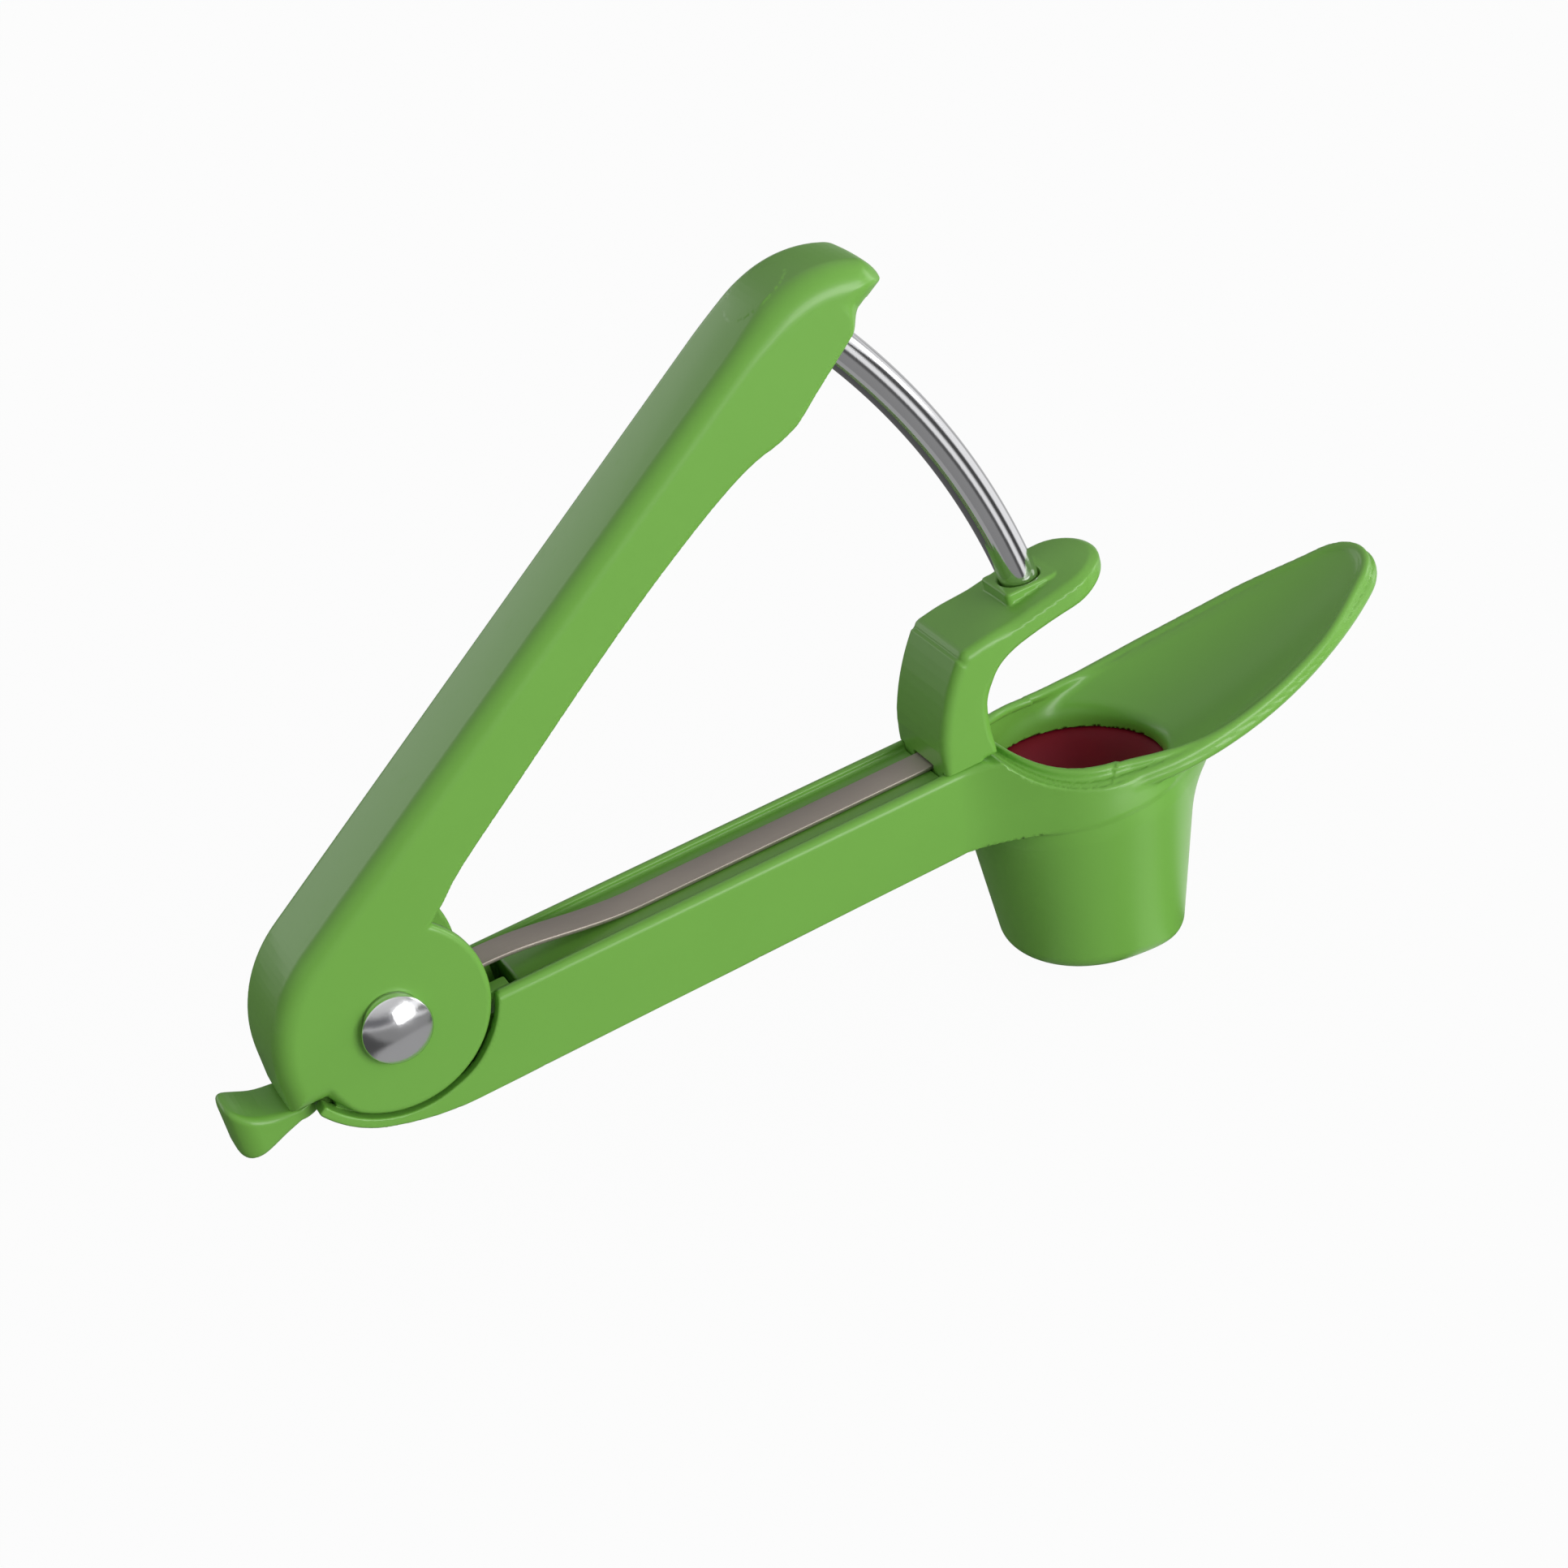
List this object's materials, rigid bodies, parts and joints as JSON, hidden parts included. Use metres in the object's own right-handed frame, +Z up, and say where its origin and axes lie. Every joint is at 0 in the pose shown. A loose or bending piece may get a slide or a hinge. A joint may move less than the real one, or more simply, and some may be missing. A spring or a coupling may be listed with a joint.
{
  "type": "cherry pitter",
  "caption": "Hand-held cherry pitter: a sprung lever swings a bent punch through a guide plate into a cup with a soft insert beside a long scoop.",
  "frame": {"origin": "bottom centre of the bounding box, on the surface under the cup's foot", "axes": "+X along the arm from the pivot to the scoop's tip, +Y across the arm, +Z up"},
  "size_m": [0.205, 0.038, 0.1297],
  "materials": {
    "arm_plastic": "satin moulded green plastic",
    "post_plastic": "satin moulded green plastic",
    "lever_plastic": "satin moulded green plastic",
    "lock_plastic": "satin moulded green plastic",
    "soft_insert": "smooth dark red soft ring",
    "spring_steel": "plain strip steel",
    "bright_metal": "polished"
  },
  "bodies": {
    "base": {"lower_arm": "arm_plastic", "guide_post": "post_plastic", "cup_insert": "soft_insert", "return_spring": "spring_steel", "pivot_rivet": "bright_metal", "rivet_cap": "bright_metal"},
    "upper_lever": {"lever": "lever_plastic", "punch_rod": "bright_metal"},
    "lock": {"lock_slider": "lock_plastic"}
  },
  "joints": [
    {"name": "lever_pivot", "type": "hinge", "parent": "base", "child": "upper_lever", "pos_m": [-0.0747, 0, 0.04859], "axis": [0, 1, 0], "range_deg": [0, 27], "stiffness_Nm_per_rad": 1, "springref_deg": -14.32, "deforming": ["return_spring"]},
    {"name": "lock_slide", "type": "slide", "parent": "base", "child": "lock", "axis": [-1, 0, 0], "range_m": [0, 0.004]}
  ]
}
